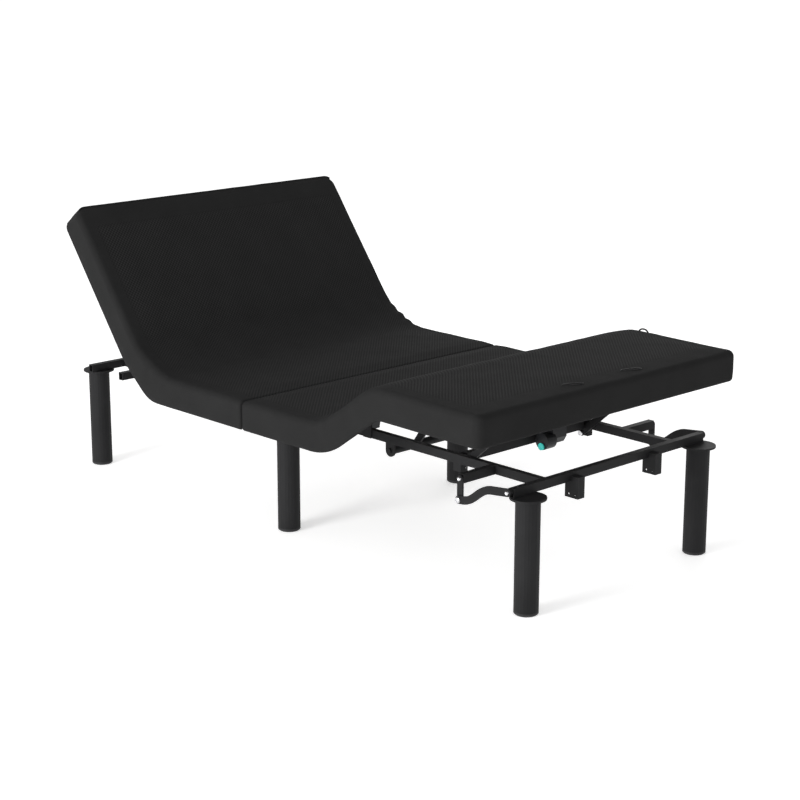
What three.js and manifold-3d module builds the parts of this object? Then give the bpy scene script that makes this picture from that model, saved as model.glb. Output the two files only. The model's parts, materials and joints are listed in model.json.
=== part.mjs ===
// Adjustable bed base: a folding steel frame on round legs, four upholstered deck sections,
// and two electric actuators that lift the back and the legs.
// Millimetres. Origin on the floor under the middle legs, +X to the foot end, +Z up.
import * as THREE from "three";
import { mergeVertices } from "three/addons/utils/BufferGeometryUtils.js";
import Module from "manifold-3d";

const wasm = await Module();
wasm.setup();

// Deck
const DECK_WIDTH = 965;
const DECK_THICK = 80;
const SEAT_TOP_Z = 386;
const BACK_LENGTH = 539;
const BACK_HINGE_X = -416;
const THIGH_HINGE_X = 311.5;
const THIGH_LENGTH = 226;
const CALF_LENGTH = 361;
const BACK_ANGLE = 53;
const THIGH_ANGLE = 34.8;
const CALF_ANGLE = 0.6;
const PIVOT_DEPTH = 20;
const SEAM_PIVOT_DEPTH = 6;
const GAP = 0.3;
const COVER = 4;
const BOARD_THICK = 11;
const BOARD_TOP = COVER + GAP;
const BOARD_BOTTOM = BOARD_TOP + BOARD_THICK;
const EDGE_TIMBER = 16;
// The padding rounds the deck's edges, so the boards and timbers stand back from them
const BOARD_SETBACK = 22.5;
const TIMBER_SETBACK = 8.5;
const CORNER_SETBACK = 20;
const EDGE_BOTTOM = 70;
const END_CLEARANCE = 1.5;
// Each underside is lifted along this line near a fold: distance from the hinge, and height
const BACK_UNDERCUT = [[165, 0], [106, 2.5], [28, 17], [-5, 25]];
const REAR_SEAT_UNDERCUT = [[50, 0], [31, 2], [16, 7], [-5, 19]];
const THIGH_UNDERCUT = [[49, 0], [20, 2], [-5, 6.5]];
const KNEE_BEVEL = [[36, 0], [-5, 5]];
const BRACE_TIMBER_BOTTOM = 34;
const CROSS_STEP = 0.5;
// Half of each fold's widest angle, with which the section ends are mitred
const BACK_HALF_FOLD = 30.5;
const THIGH_HALF_FOLD = 20.5;
const KNEE_HALF_FOLD = 20.5;
const SEAM_HALF_FOLD = 45;

// Frame
const TUBE_WIDE = 18;
const TUBE_HIGH = 22;
const TUBE_WALL = 1.6;
const TUBE_BOTTOM_Z = 292;
const TUBE_MID_Z = TUBE_BOTTOM_Z + TUBE_HIGH / 2;
const TUBE_TOP_Z = TUBE_BOTTOM_Z + TUBE_HIGH;
const RAIL_Y = 240;
const CROSS_X = 847;
const FOOT_CROSS_HALF = 358;
const HEAD_CROSS_HALF = 365;
const STUB_END_Y = 358;
const FOOT_STUB_X = 683;
const HEAD_STUB_X = -707;
const MIDDLE_STUB_X = -12;
const FOOT_INNER_X = 559;
const HEAD_INNER_X = -88;
const POST_XS = [75, 235];
const POST_PLATE = 4;
const POST_LENGTH = 30;

// Legs
const LEG_X = 868;
const LEG_Y = 322;
const LEG_RADIUS = 30.5;
const LEG_WALL = 2;
const GLIDE_HEIGHT = 8;
const PLATE_RADIUS = 45;
const PLATE_THICK = 5;
const PLATE_TOP_Z = TUBE_BOTTOM_Z - GAP;
const LEG_TOP_Z = PLATE_TOP_Z - PLATE_THICK;

// Lifting gear
const SHAFT_Z = 270;
const SHAFT_RADIUS = 11;
const JOURNAL_RADIUS = 7;
const BRACKET_THICK = 6;
const ARM_THICK = 6;
const ROLLER_RADIUS = 12;
const ROLLER_WIDE = 26;
const PIN_RADIUS = 5;
const RUNNING = 0.3;
const CRANK_PIN = 3.5;
const ROD_ENGAGED = 40;
const FORK_DEPTH = 32;
const FORK_HOLE = 8;
const BACK_ARM = { length: 300, angle: 60, y: 180 };
const BACK_CRANK = { length: 70, angle: -55, y: 0 };
const THIGH_ARM = { length: 180, angle: 54, y: 150 };
const THIGH_CRANK = { length: 60, angle: 113.5, y: 78 };
const CALF_ARM = { length: 300, angle: 41.2, y: 226 };
const CALF_PIVOT = { x: 556, z: 279 };
const BACK_TRUNNION = { x: -88, z: 262 };
const THIGH_TRUNNION = { x: FOOT_INNER_X, z: 334 };

const rad = THREE.MathUtils.degToRad;

// Materials
function paint(color, roughness, metalness) {
  return new THREE.MeshStandardMaterial({ color, roughness, metalness });
}
const BLACK_STEEL = paint(0x2b2b2d, 0.5, 0.4);
const FABRIC = paint(0x2a2a2b, 0.95, 0);
const PLYWOOD = paint(0x4f4336, 0.8, 0);
const ZINC = paint(0xb9bbbd, 0.35, 0.9);
const BLACK_PLASTIC = paint(0x1c1c1e, 0.6, 0);
const NYLON = paint(0xd9d7cf, 0.5, 0);
const TEAL = paint(0x40bfb0, 0.45, 0);

// Solids
function toManifold(geometry) {
  const bare = geometry.clone();
  bare.deleteAttribute("normal");
  bare.deleteAttribute("uv");
  const merged = mergeVertices(bare, 1e-4);
  return new wasm.Manifold(new wasm.Mesh({
    numProp: 3,
    vertProperties: Float32Array.from(merged.attributes.position.array),
    triVerts: Uint32Array.from(merged.index.array),
  }));
}

function toGeometry(manifold) {
  const mesh = manifold.getMesh();
  const geometry = new THREE.BufferGeometry();
  geometry.setAttribute("position", new THREE.BufferAttribute(mesh.vertProperties, 3));
  geometry.setIndex(new THREE.BufferAttribute(mesh.triVerts, 1));
  geometry.computeVertexNormals();
  return geometry;
}

function union(...geometries) {
  let total = toManifold(geometries[0]);
  for (const geometry of geometries.slice(1)) {
    total = total.add(toManifold(geometry));
  }
  return toGeometry(total);
}

function cut(geometry, ...tools) {
  let total = toManifold(geometry);
  for (const tool of tools) {
    total = total.subtract(toManifold(tool));
  }
  return toGeometry(total);
}

function block(x0, x1, y0, y1, z0, z1) {
  const geometry = new THREE.BoxGeometry(x1 - x0, y1 - y0, z1 - z0);
  return geometry.translate((x0 + x1) / 2, (y0 + y1) / 2, (z0 + z1) / 2);
}

// A round bar along Y
function barY(radius, x, z, y0, y1, sides = 16) {
  const geometry = new THREE.CylinderGeometry(radius, radius, y1 - y0, sides);
  return geometry.translate(x, (y0 + y1) / 2, z);
}

// A round bar along X
function barX(radius, y, z, x0, x1, sides = 16) {
  const geometry = new THREE.CylinderGeometry(radius, radius, x1 - x0, sides);
  return geometry.rotateZ(Math.PI / 2).translate((x0 + x1) / 2, y, z);
}

// A round bar along Z
function barZ(radius, x, y, z0, z1, sides = 20) {
  const geometry = new THREE.CylinderGeometry(radius, radius, z1 - z0, sides);
  return geometry.rotateX(Math.PI / 2).translate(x, y, (z0 + z1) / 2);
}

// An outline of [x, z] points, extruded across from y0 to y1
function plateY(points, y0, y1, holes = []) {
  const shape = new THREE.Shape(points.map(([x, z]) => new THREE.Vector2(x, z)));
  for (const [x, z, radius] of holes) {
    shape.holes.push(new THREE.Path().absarc(x, z, radius, 0, 2 * Math.PI, true));
  }
  const options = { depth: y1 - y0, bevelEnabled: false, curveSegments: 8 };
  const geometry = new THREE.ExtrudeGeometry(shape, options);
  return geometry.rotateX(Math.PI / 2).translate(0, y1, 0);
}

// A flat bar in the XZ plane with round ends, between two pivots
function linkY(x0, z0, x1, z1, radius, y0, y1) {
  const angle = Math.atan2(z1 - z0, x1 - x0);
  const points = [];
  for (let i = 0; i <= 6; i += 1) {
    const a = angle + Math.PI / 2 + (Math.PI * i) / 6;
    points.push([x0 + radius * Math.cos(a), z0 + radius * Math.sin(a)]);
  }
  for (let i = 0; i <= 6; i += 1) {
    const a = angle - Math.PI / 2 + (Math.PI * i) / 6;
    points.push([x1 + radius * Math.cos(a), z1 + radius * Math.sin(a)]);
  }
  return plateY(points, y0, y1);
}

// A rectangular tube, open at both ends
function tubeX(x0, x1, y, z) {
  const w = TUBE_WIDE / 2;
  const h = TUBE_HIGH / 2;
  const outer = block(x0, x1, y - w, y + w, z - h, z + h);
  const t = TUBE_WALL;
  return cut(outer, block(x0 - 1, x1 + 1, y - w + t, y + w - t, z - h + t, z + h - t));
}

function tubeY(x, y0, y1, z) {
  const w = TUBE_WIDE / 2;
  const h = TUBE_HIGH / 2;
  const outer = block(x - w, x + w, y0, y1, z - h, z + h);
  const t = TUBE_WALL;
  return cut(outer, block(x - w + t, x + w - t, y0 - 1, y1 + 1, z - h + t, z + h - t));
}

function add(parent, name, geometry, material) {
  const mesh = new THREE.Mesh(geometry, material);
  mesh.name = name;
  parent.add(mesh);
  return mesh;
}

// Deck sections. Each lies along local X with its hinge line at local z = 0, PIVOT_DEPTH below
// its top. An end is a function that gives how far the end face stands back at a depth.
const flush = () => 0;

function foldsAbove(halfFold, pivotDepth) {
  return (depth) => END_CLEARANCE + Math.max(0, pivotDepth - depth) * Math.tan(rad(halfFold));
}

function foldsBelow(halfFold) {
  return (depth) => END_CLEARANCE + Math.max(0, depth - PIVOT_DEPTH) * Math.tan(rad(halfFold));
}

const BACK_FOLD = foldsAbove(BACK_HALF_FOLD, PIVOT_DEPTH);
const THIGH_FOLD = foldsAbove(THIGH_HALF_FOLD, PIVOT_DEPTH);
const SEAM_FOLD = foldsAbove(SEAM_HALF_FOLD, SEAM_PIVOT_DEPTH);
const KNEE_FOLD = foldsBelow(KNEE_HALF_FOLD);

function sectionOutline(section, top, bottom, inset) {
  const bends = [SEAM_PIVOT_DEPTH, PIVOT_DEPTH].filter((d) => d > top && d < bottom);
  const depths = [top, ...bends, bottom];
  const first = depths.map((d) => [section.from + section.start(d) + inset[0], PIVOT_DEPTH - d]);
  const last = depths.map((d) => [section.to - section.end(d) - inset[1], PIVOT_DEPTH - d]);
  return [...first.reverse(), ...last];
}

// Solids that take away what lies outside a line near one fold, with extra taken off it
function foldCutter(hinge, away, line, level, outward, extra) {
  const half = DECK_WIDTH;
  const edge = line.map(([x, z]) => [hinge + away * x, level - outward * (z + extra)]);
  const beyond = level + outward * 8;
  const last = edge.length - 1;
  return plateY([...edge, [edge[last][0], beyond], [edge[0][0], beyond]], -half, half);
}

function undercuts(section, extra) {
  const bottom = PIVOT_DEPTH - DECK_THICK;
  return (section.undercuts ?? []).map(([hinge, away, line]) => (
    foldCutter(hinge, away, line, bottom, -1, extra)));
}

function bevels(section, extra) {
  return (section.bevels ?? []).map(([hinge, away, line]) => (
    foldCutter(hinge, away, line, PIVOT_DEPTH, 1, extra)));
}

function coverSolid(section) {
  const half = DECK_WIDTH / 2;
  const inset = [section.start === flush ? COVER : -5, section.end === flush ? COVER : -5];
  const outer = plateY(sectionOutline(section, 0, DECK_THICK, [0, 0]), -half, half);
  const inner = plateY(sectionOutline(section, COVER, DECK_THICK + 1, inset), -half + COVER,
    half - COVER);
  return cut(outer, inner, ...undercuts(section, 0));
}

// A triangular prism that takes the point off one corner of a panel
function cornerCutter(x, toward, sy) {
  const half = DECK_WIDTH / 2;
  const size = TIMBER_SETBACK + CORNER_SETBACK;
  const shape = new THREE.Shape([
    new THREE.Vector2(x - toward * size, sy * (half + 1)),
    new THREE.Vector2(x + toward, sy * (half + 1)),
    new THREE.Vector2(x + toward, sy * (half - size)),
  ]);
  const options = { depth: DECK_THICK, bevelEnabled: false };
  return new THREE.ExtrudeGeometry(shape, options).translate(0, 0, PIVOT_DEPTH - DECK_THICK);
}

// Plywood board with timbers under its side edges, under any free end, and across the middle
function panelSolid(section) {
  const half = DECK_WIDTH / 2;
  const board = half - BOARD_SETBACK;
  const outer = half - TIMBER_SETBACK;
  const inner = outer - EDGE_TIMBER;
  const free = [section.start === flush, section.end === flush];
  const top = BOARD_BOTTOM - 1;
  const boardInset = free.map((isFree) => (isFree ? BOARD_SETBACK : 4));
  const side = sectionOutline(section, top, EDGE_BOTTOM, free.map((isFree) => (
    isFree ? TIMBER_SETBACK : GAP)));
  const parts = [
    plateY(sectionOutline(section, BOARD_TOP, BOARD_BOTTOM, boardInset), -board, board),
    plateY(side, -outer, -inner),
    plateY(side, inner, outer),
  ];
  const cross = (x0, x1, bottom) => block(x0, x1, -inner - 1, inner + 1,
    PIVOT_DEPTH - bottom + CROSS_STEP, PIVOT_DEPTH - top - CROSS_STEP);
  const corners = [];
  if (free[0]) {
    const x = section.from + TIMBER_SETBACK + CROSS_STEP;
    parts.push(cross(x, x + EDGE_TIMBER, EDGE_BOTTOM));
    corners.push(cornerCutter(section.from, -1, -1), cornerCutter(section.from, -1, 1));
  }
  if (free[1]) {
    const x = section.to - TIMBER_SETBACK - CROSS_STEP;
    parts.push(cross(x - EDGE_TIMBER, x, EDGE_BOTTOM));
    corners.push(cornerCutter(section.to, 1, -1), cornerCutter(section.to, 1, 1));
  }
  parts.push(cross(section.brace - 8, section.brace + 8, BRACE_TIMBER_BOTTOM));
  return cut(union(...parts), ...corners, ...undercuts(section, COVER + 1), ...bevels(section,
    COVER + 0.5));
}

function deckSection(parent, section) {
  add(parent, `${section.name}_panel`, panelSolid(section), PLYWOOD);
  add(parent, `${section.name}_cover`, coverSolid(section), FABRIC);
}

// Continuous hinges under the boards. The outer leaf carries the pin and every other knuckle.
// side is +1 for the leaf that runs to +X.
const LEAF_HALF = 360;
const LEAF_REACH = 42;
const LEAF_THICK = 2.5;
const KNUCKLE_RADIUS = 4;
const KNUCKLES = 4;
const HINGE_PIN = 2;
const LEAF_TOP = PIVOT_DEPTH - BOARD_BOTTOM - GAP;

function knuckleSpans(odd) {
  const pitch = (2 * LEAF_HALF) / KNUCKLES;
  const spans = [];
  for (let i = odd; i < KNUCKLES; i += 2) {
    spans.push([i * pitch - LEAF_HALF + 0.4, (i + 1) * pitch - LEAF_HALF - 0.4]);
  }
  return spans;
}

function sorted(a, b) {
  return a < b ? [a, b] : [b, a];
}

function leafBlank(side, spans) {
  const z0 = LEAF_TOP - LEAF_THICK;
  const far = side * LEAF_REACH;
  const parts = [block(...sorted(side * (KNUCKLE_RADIUS + 1.5), far), -LEAF_HALF, LEAF_HALF, z0,
    LEAF_TOP)];
  for (const [y0, y1] of spans) {
    parts.push(block(...sorted(side * 0.5, far), y0, y1, z0, LEAF_TOP));
    parts.push(barY(KNUCKLE_RADIUS, 0, 0, y0, y1, 8));
  }
  return union(...parts);
}

function outerLeaf(side) {
  const blank = leafBlank(side, knuckleSpans(0));
  return union(blank, barY(HINGE_PIN, 0, 0, -LEAF_HALF, LEAF_HALF, 8));
}

function middleLeaf(side) {
  const blank = leafBlank(side, knuckleSpans(1));
  return cut(blank, barY(HINGE_PIN + RUNNING, 0, 0, -LEAF_HALF - 1, LEAF_HALF + 1, 8));
}

// The fold hinge at the seam has its knuckles near the deck top, on leaves bent round the
// boards' ends
const SEAM_Z = SEAT_TOP_Z - SEAM_PIVOT_DEPTH;
const SEAM_KNUCKLE = 3.6;
const SEAM_PIN = 1.8;

function seamBlank(side, spans) {
  const top = SEAT_TOP_Z - BOARD_BOTTOM - GAP;
  const foot = top - LEAF_THICK;
  const parts = [block(...sorted(side * 1.2, side * 48), -LEAF_HALF, LEAF_HALF, foot, top)];
  for (const [y0, y1] of spans) {
    parts.push(barY(SEAM_KNUCKLE, 0, SEAM_Z, y0, y1, 8));
    parts.push(block(...sorted(side * 1.2, side * 3.6), y0, y1, foot, SEAM_Z));
  }
  return union(...parts);
}

function seamOuterLeaf(side) {
  const blank = seamBlank(side, knuckleSpans(0));
  return union(blank, barY(SEAM_PIN, 0, SEAM_Z, -LEAF_HALF, LEAF_HALF, 8));
}

function seamMiddleLeaf(side) {
  const blank = seamBlank(side, knuckleSpans(1));
  return cut(blank, barY(SEAM_PIN + RUNNING, 0, SEAM_Z, -LEAF_HALF - 1, LEAF_HALF + 1, 8));
}

// Frame pieces. sy is -1 on the right side and +1 on the left.
function span(sy, a, b) {
  return sy > 0 ? [a, b] : [-b, -a];
}

// An angle post from the rail's outer face up to the seat board
function post(sy, x) {
  const top = SEAT_TOP_Z - BOARD_BOTTOM - GAP;
  const face = RAIL_Y + TUBE_WIDE / 2;
  const half = POST_LENGTH / 2;
  const upright = block(x - half, x + half, ...span(sy, face - 1, face + POST_PLATE),
    TUBE_BOTTOM_Z, top);
  const flange = block(x - half, x + half, ...span(sy, face - 1, face + POST_LENGTH),
    top - POST_PLATE, top);
  return [upright, flange];
}

function railStub(sy, x) {
  const inside = RAIL_Y + TUBE_WIDE / 2 - TUBE_WALL / 2;
  return tubeY(x, ...span(sy, inside, STUB_END_Y), TUBE_MID_Z);
}

// A plate hanging under a rail, with a bore for the shaft or pivot
function hangingPlate(sy, x, z, radius, bore, y) {
  const points = [];
  for (let i = 0; i <= 8; i += 1) {
    const a = Math.PI + (Math.PI * i) / 8;
    points.push([x + radius * Math.cos(a), z + radius * Math.sin(a)]);
  }
  points.push([x + radius, TUBE_BOTTOM_Z + 1], [x - radius, TUBE_BOTTOM_Z + 1]);
  return plateY(points, ...span(sy, y - BRACKET_THICK / 2, y + BRACKET_THICK / 2), [[x, z, bore]]);
}

function headRail(sy) {
  const start = -CROSS_X + TUBE_WIDE / 2 + GAP;
  return union(
    tubeX(start, -1, sy * RAIL_Y, TUBE_MID_Z),
    railStub(sy, HEAD_STUB_X),
    railStub(sy, MIDDLE_STUB_X),
    ...POST_XS.flatMap((x) => post(sy, -x)),
    hangingPlate(sy, BACK_HINGE_X, SHAFT_Z, 16, JOURNAL_RADIUS + RUNNING, RAIL_Y),
  );
}

// The short box bracket that the calf arm is bolted to
function calfBracket(sy) {
  const x0 = CALF_PIVOT.x - 8;
  const x1 = CALF_PIVOT.x + 17;
  const shell = block(x0, x1, ...span(sy, RAIL_Y - TUBE_WIDE / 2, RAIL_Y + TUBE_WIDE / 2),
    CALF_PIVOT.z - 8, TUBE_BOTTOM_Z + 1);
  const wall = 3;
  const hollow = block(x0 + wall, x1 - wall,
    ...span(sy, RAIL_Y - TUBE_WIDE / 2 + wall, RAIL_Y + TUBE_WIDE / 2 - wall),
    CALF_PIVOT.z - 9, TUBE_BOTTOM_Z);
  const head = CALF_ARM.y - ARM_THICK / 2 - GAP;
  const bolt = barY(4, CALF_PIVOT.x, CALF_PIVOT.z, ...span(sy, head - 1, RAIL_Y - 7), 12);
  const boltCap = barY(7, CALF_PIVOT.x, CALF_PIVOT.z, ...span(sy, head - 5, head), 12);
  return union(cut(shell, hollow), bolt, boltCap);
}

function footRail(sy) {
  const end = CROSS_X - TUBE_WIDE / 2 - GAP;
  return union(
    tubeX(1, end, sy * RAIL_Y, TUBE_MID_Z),
    railStub(sy, FOOT_STUB_X),
    ...POST_XS.flatMap((x) => post(sy, x)),
    hangingPlate(sy, THIGH_HINGE_X, SHAFT_Z, 16, JOURNAL_RADIUS + RUNNING, RAIL_Y),
    calfBracket(sy),
  );
}

// Cross tube between the rails, with a pair of ears that hold an actuator's trunnion
function innerCrossTube(x, trunnion, y) {
  const inside = RAIL_Y - TUBE_WIDE / 2 - GAP;
  const parts = [tubeY(x, -inside, inside, TUBE_MID_Z)];
  for (const side of [-1, 1]) {
    const up = trunnion.z > TUBE_MID_Z;
    const root = up ? TUBE_TOP_Z - 1 : TUBE_BOTTOM_Z + 1;
    const ear = linkY(trunnion.x, root, trunnion.x, trunnion.z, 9,
      y + side * 24 - 2, y + side * 24 + 2);
    const spare = up
      ? block(x - 20, x + 20, y - 30, y + 30, TUBE_BOTTOM_Z - 20, TUBE_TOP_Z - 1)
      : block(x - 20, x + 20, y - 30, y + 30, TUBE_BOTTOM_Z + 1, TUBE_TOP_Z + 20);
    parts.push(cut(ear, spare));
    const tip = y + side * 17;
    parts.push(barY(PIN_RADIUS, trunnion.x, trunnion.z, Math.min(tip, y + side * 23),
      Math.max(tip, y + side * 23), 12));
  }
  return union(...parts);
}

// The channel under the foot cross tube that a footboard would bolt to
function footboardBracket(sy) {
  const y0 = 134.5;
  const y1 = 158.5;
  const back = CROSS_X - TUBE_WIDE / 2;
  const front = 880;
  const bottom = 251;
  const top = TUBE_TOP_Z - 9;
  const wall = 3;
  const cheek = [
    [back, bottom], [front, bottom], [front, top],
    [CROSS_X + TUBE_WIDE / 2 + GAP, top],
    [CROSS_X + TUBE_WIDE / 2 + GAP, TUBE_BOTTOM_Z - GAP], [back, TUBE_BOTTOM_Z - GAP],
  ];
  const holes = [[back + 12, bottom + 9, 2.6], [back + 31, bottom + 9, 2.6]];
  const parts = [
    plateY(cheek, ...span(sy, y0, y0 + wall), holes),
    plateY(cheek, ...span(sy, y1 - wall, y1), holes),
    block(front - wall, front, ...span(sy, y0, y1), bottom, top),
    block(CROSS_X + TUBE_WIDE / 2 + GAP, front, ...span(sy, y0, y1), top - 3, top),
  ];
  return union(...parts);
}

// Corner brace: a drop link from the stub, and an S-shaped arm back up to the cross tube's end
const BRACE_Y = STUB_END_Y + GAP;
const BRACE_THICK = 5;
const BRACE_DROP_Z = 251;
const BRACE_END_Z = TUBE_MID_Z + 2;
const SMALL_BOLT = 4.8;
const LARGE_BOLT = 7.5;
const BRACE_HALF = 10;

function boltHead(sy, x, z, y, radius) {
  return barY(radius, x, z, ...span(sy, y - 1, y + 4), 12);
}

function braceLink(sy) {
  const face = BRACE_Y + BRACE_THICK;
  return union(
    linkY(FOOT_STUB_X, TUBE_MID_Z, FOOT_STUB_X, BRACE_DROP_Z, 9, ...span(sy, BRACE_Y, face)),
    boltHead(sy, FOOT_STUB_X, TUBE_MID_Z, face, SMALL_BOLT),
  );
}

function braceArm(sy) {
  const path = new THREE.CurvePath();
  const low = BRACE_DROP_Z;
  const high = BRACE_END_Z;
  const x0 = FOOT_STUB_X;
  const x1 = CROSS_X - 3;
  const v = (x, z) => new THREE.Vector2(x, z);
  path.add(new THREE.LineCurve(v(x0, low), v(x0 + 17, low + 2)));
  path.add(new THREE.CubicBezierCurve(v(x0 + 17, low + 2), v(x0 + 52, low + 7), v(x0 + 62, high - 18),
    v(x0 + 100, high - 7)));
  path.add(new THREE.LineCurve(v(x0 + 100, high - 7), v(x1, high)));
  const spine = path.getSpacedPoints(18);
  const upper = [];
  const lower = [];
  spine.forEach((p, i) => {
    const before = spine[Math.max(0, i - 1)];
    const after = spine[Math.min(spine.length - 1, i + 1)];
    const along = after.clone().sub(before).normalize().multiplyScalar(BRACE_HALF);
    upper.push([p.x - along.y, p.y + along.x]);
    lower.push([p.x + along.y, p.y - along.x]);
  });
  const y0 = BRACE_Y + BRACE_THICK + GAP;
  const face = y0 + BRACE_THICK;
  return union(
    plateY([...upper.reverse(), ...lower], ...span(sy, y0, face)),
    barY(BRACE_HALF, x0, low, ...span(sy, y0, face), 20),
    barY(BRACE_HALF, x1, high, ...span(sy, BRACE_Y, face), 20),
    boltHead(sy, x0, low, face, LARGE_BOLT),
    boltHead(sy, x1, high, face, SMALL_BOLT),
  );
}

// Legs
function leg(x, y) {
  const tube = barZ(LEG_RADIUS, x, y, GLIDE_HEIGHT, LEG_TOP_Z + 1, 24);
  const plate = barZ(PLATE_RADIUS, x, y, LEG_TOP_Z, PLATE_TOP_Z, 24);
  return cut(union(tube, plate), barZ(LEG_RADIUS - LEG_WALL, x, y, 0, LEG_TOP_Z - 4, 24));
}

function glide(x, y) {
  const plug = LEG_RADIUS - LEG_WALL - GAP;
  const profile = [[0, 0], [27, 0], [LEG_RADIUS, 3], [LEG_RADIUS, GLIDE_HEIGHT - GAP],
    [plug, GLIDE_HEIGHT - GAP], [plug, 22], [0, 22]];
  const lathe = new THREE.LatheGeometry(profile.map(([r, z]) => new THREE.Vector2(r, z)), 24);
  return toGeometry(toManifold(lathe.rotateX(Math.PI / 2).translate(x, y, 0)));
}

// Lifting shafts. An angle is measured from the way the arm points when flat, up to vertical;
// toward is +1 when that way is +X.
function tip(pivot, toward, arm) {
  return {
    x: pivot.x + toward * arm.length * Math.cos(rad(arm.angle)),
    z: pivot.z + arm.length * Math.sin(rad(arm.angle)),
  };
}

function liftShaft(pivot, toward, arm, crank) {
  const inside = RAIL_Y - BRACKET_THICK / 2 - 2;
  const parts = [
    barY(SHAFT_RADIUS, pivot.x, pivot.z, -inside, inside, 20),
    barY(JOURNAL_RADIUS, pivot.x, pivot.z, -RAIL_Y - 8, RAIL_Y + 8, 16),
  ];
  const end = tip(pivot, toward, arm);
  for (const sy of [-1, 1]) {
    const plate = span(sy, arm.y - ARM_THICK / 2, arm.y + ARM_THICK / 2);
    parts.push(linkY(pivot.x, pivot.z, end.x, end.z, 10, ...plate));
    const out = arm.y + ARM_THICK / 2 + ROLLER_WIDE + 2;
    parts.push(barY(PIN_RADIUS, end.x, end.z, ...span(sy, arm.y, out + 2), 12));
    parts.push(barY(8, end.x, end.z, ...span(sy, out, out + 3), 12));
  }
  const crankEnd = tip(pivot, toward, crank);
  parts.push(linkY(pivot.x, pivot.z, crankEnd.x, crankEnd.z, 10, crank.y - 3, crank.y + 3));
  parts.push(barY(CRANK_PIN, crankEnd.x, crankEnd.z, crank.y - 14, crank.y + 14, 12));
  return union(...parts);
}

// outward is -1 for a roller on the inner face of its arm
function roller(sy, pivot, toward, arm, outward = 1) {
  const end = tip(pivot, toward, arm);
  const near = arm.y + outward * (ARM_THICK / 2 + 1);
  const wide = span(sy, ...sorted(near, near + outward * ROLLER_WIDE));
  const wheel = barY(ROLLER_RADIUS, end.x, end.z, ...wide, 20);
  return cut(wheel, barY(PIN_RADIUS + RUNNING, end.x, end.z, wide[0] - 1, wide[1] + 1, 12));
}

// The pair of calf arms, joined by a cross bar near their rollers
function calfArms() {
  const end = tip(CALF_PIVOT, 1, CALF_ARM);
  const bar = tip(CALF_PIVOT, 1, { length: CALF_ARM.length - 40, angle: CALF_ARM.angle });
  const parts = [barY(7, bar.x, bar.z, -CALF_ARM.y, CALF_ARM.y, 12)];
  for (const sy of [-1, 1]) {
    const plate = span(sy, CALF_ARM.y - ARM_THICK / 2, CALF_ARM.y + ARM_THICK / 2);
    parts.push(linkY(CALF_PIVOT.x, CALF_PIVOT.z, end.x, end.z, 9, ...plate));
    const inner = CALF_ARM.y - ARM_THICK / 2 - ROLLER_WIDE - 2;
    parts.push(barY(PIN_RADIUS, end.x, end.z, ...span(sy, inner - 2, CALF_ARM.y), 12));
    parts.push(barY(8, end.x, end.z, ...span(sy, inner - 3, inner), 12));
  }
  const bores = [-1, 1].map((sy) => barY(4 + RUNNING, CALF_PIVOT.x, CALF_PIVOT.z,
    ...span(sy, CALF_ARM.y - 10, CALF_ARM.y + 10), 12));
  return cut(union(...parts), ...bores);
}

// Actuators, built with the trunnion at the local origin and the rod running to local -X
function actuator(stroke, motor) {
  const bodyEnd = -motor.tube;
  const parts = [
    block(-13, 18, -21, 21, -15, 15),
    barX(14, 0, 0, bodyEnd, 0, 20),
    plateY(motor.gearbox, -26, 26),
    barY(motor.radius, motor.x, motor.z, -motor.reach, -20, 24),
  ];
  const solid = union(...parts);
  return cut(
    solid,
    barX(9.6, 0, 0, bodyEnd - 1, bodyEnd + ROD_ENGAGED + stroke + 10, 16),
    barY(PIN_RADIUS + RUNNING, 0, 0, -22, -16, 12),
    barY(PIN_RADIUS + RUNNING, 0, 0, 16, 22, 12),
  );
}

function actuatorRod(length, tube) {
  const inner = -tube + ROD_ENGAGED;
  const root = -length + FORK_DEPTH;
  const rod = barX(9, 0, 0, root + 8, inner, 16);
  const neck = block(root, root + 10, -11, 11, -11, 11);
  const cheeks = [-1, 1].map((sy) => plateY(
    [[-length - 14, -11], [root + 10, -11], [root + 10, 11], [-length - 14, 11]],
    ...span(sy, 5.5, 11), [[-length, 0, FORK_HOLE]]));
  return union(rod, neck, ...cheeks);
}

function controlBox() {
  const top = SEAT_TOP_Z - BOARD_BOTTOM - GAP;
  const shell = block(-194, -58, -160, -60, top - 36, top);
  const sockets = [-171, -141, -111, -81].map((x) => block(x - 9, x + 9, -161, -150, top - 26,
    top - 12));
  return cut(shell, ...sockets);
}

// Low wire loop at the far edge that stops the mattress sliding
function retainerLoop(length, x, y) {
  const points = [];
  for (let i = 0; i <= 8; i += 1) {
    const t = i / 8;
    points.push(new THREE.Vector3(x + (t - 0.5) * length, y, 9 * Math.sin(Math.PI * t)));
  }
  const section = new THREE.Shape().absarc(0, 0, 1.6, 0, 2 * Math.PI);
  const extrudePath = new THREE.CatmullRomCurve3(points);
  const options = { steps: 10, curveSegments: 4, bevelEnabled: false, extrudePath };
  const wire = new THREE.ExtrudeGeometry(section, options).translate(0, 0, PIVOT_DEPTH + 1.9);
  return toGeometry(toManifold(wire));
}

// Assembly
const HINGE_Z = SEAT_TOP_Z - PIVOT_DEPTH;
const base = new THREE.Group();

function seatHalf(name, from, to, start, end, undercut) {
  const section = { name, from, to, start, end, brace: (from + to) / 2, undercuts: [undercut] };
  const group = new THREE.Group();
  group.position.set(0, 0, HINGE_Z);
  base.add(group);
  deckSection(group, section);
}

function tilted(parent, x, z, degrees) {
  const group = new THREE.Group();
  group.position.set(x, 0, z);
  group.rotation.y = rad(degrees);
  parent.add(group);
  return group;
}

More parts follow.
